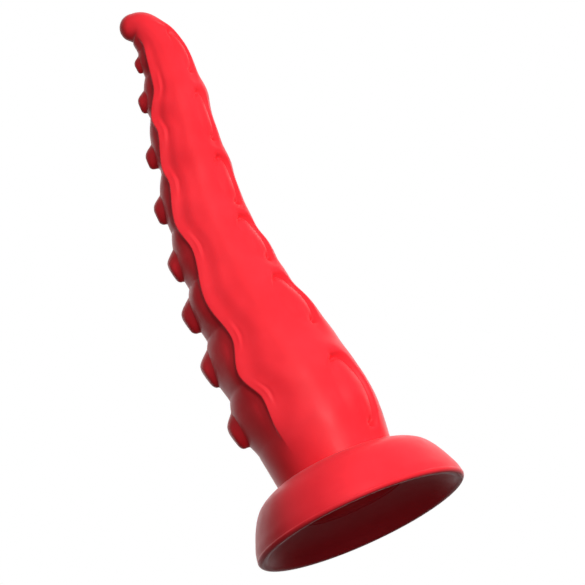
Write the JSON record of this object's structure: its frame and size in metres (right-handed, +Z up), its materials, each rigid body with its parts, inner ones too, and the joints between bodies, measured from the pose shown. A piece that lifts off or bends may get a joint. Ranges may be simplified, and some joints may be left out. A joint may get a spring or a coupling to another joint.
{
  "type": "tentacle-shaped silicone toy with suction-cup base",
  "caption": "Flexible, tapering silicone tentacle with a row of suckers, wavy side webs and a hooked tip on a flared suction-cup base; an adult toy, not a kite.",
  "frame": {"origin": "centre of the cup's rim, on the plane that it rests on", "axes": "+Z up along the cup's axis, -X the side that the suckers face, the tentacle's curve in the XZ plane"},
  "size_m": [0.09, 0.09, 0.2296],
  "materials": {
    "tentacle_silicone": "satin",
    "sucker_silicone": "satin",
    "cup_silicone": "satin"
  },
  "bodies": {
    "base": {"suction_cup": "cup_silicone", "tentacle_root": "tentacle_silicone"},
    "section_1": {"tentacle_section_1": "tentacle_silicone", "sucker_1": "sucker_silicone"},
    "section_2": {"tentacle_section_2": "tentacle_silicone", "sucker_2": "sucker_silicone"},
    "section_3": {"tentacle_section_3": "tentacle_silicone", "sucker_3": "sucker_silicone"},
    "section_4": {"tentacle_section_4": "tentacle_silicone", "sucker_4": "sucker_silicone"},
    "section_5": {"tentacle_section_5": "tentacle_silicone", "sucker_5": "sucker_silicone"},
    "section_6": {"tentacle_section_6": "tentacle_silicone", "sucker_6": "sucker_silicone"},
    "section_7": {"tentacle_section_7": "tentacle_silicone", "sucker_7": "sucker_silicone"},
    "tip": {"tentacle_tip": "tentacle_silicone", "sucker_8": "sucker_silicone"}
  },
  "joints": [
    {"name": "curl_1", "type": "hinge", "parent": "base", "child": "section_1", "pos_m": [-0.00031, 0, 0.02742], "axis": [0, -1, 0], "range_deg": [-8, 8], "stiffness_Nm_per_rad": 3.7},
    {"name": "sway_1", "type": "hinge", "parent": "section_1", "child": "section_2", "pos_m": [-0.00157, 0, 0.05586], "axis": [1, 0, 0], "range_deg": [-10, 10], "stiffness_Nm_per_rad": 1.8},
    {"name": "curl_2", "type": "hinge", "parent": "section_2", "child": "section_3", "pos_m": [-0.00428, 0, 0.08264], "axis": [0, -1, 0], "range_deg": [-13, 13], "stiffness_Nm_per_rad": 1.3},
    {"name": "sway_2", "type": "hinge", "parent": "section_3", "child": "section_4", "pos_m": [-0.00582, 0, 0.10572], "axis": [1, 0, 0], "range_deg": [-16, 16], "stiffness_Nm_per_rad": 0.7},
    {"name": "curl_3", "type": "hinge", "parent": "section_4", "child": "section_5", "pos_m": [-0.0065, 0, 0.12988], "axis": [0, -1, 0], "range_deg": [-18, 18], "stiffness_Nm_per_rad": 0.43},
    {"name": "sway_3", "type": "hinge", "parent": "section_5", "child": "section_6", "pos_m": [-0.00419, 0, 0.15293], "axis": [1, 0, 0], "range_deg": [-20, 20], "stiffness_Nm_per_rad": 0.26},
    {"name": "curl_4", "type": "hinge", "parent": "section_6", "child": "section_7", "pos_m": [-0.00038, 0, 0.17473], "axis": [0, -1, 0], "range_deg": [-22, 22], "stiffness_Nm_per_rad": 0.14},
    {"name": "sway_4", "type": "hinge", "parent": "section_7", "child": "tip", "pos_m": [0.00328, 0, 0.19525], "axis": [1, 0, 0], "range_deg": [-22, 22], "stiffness_Nm_per_rad": 0.09}
  ]
}
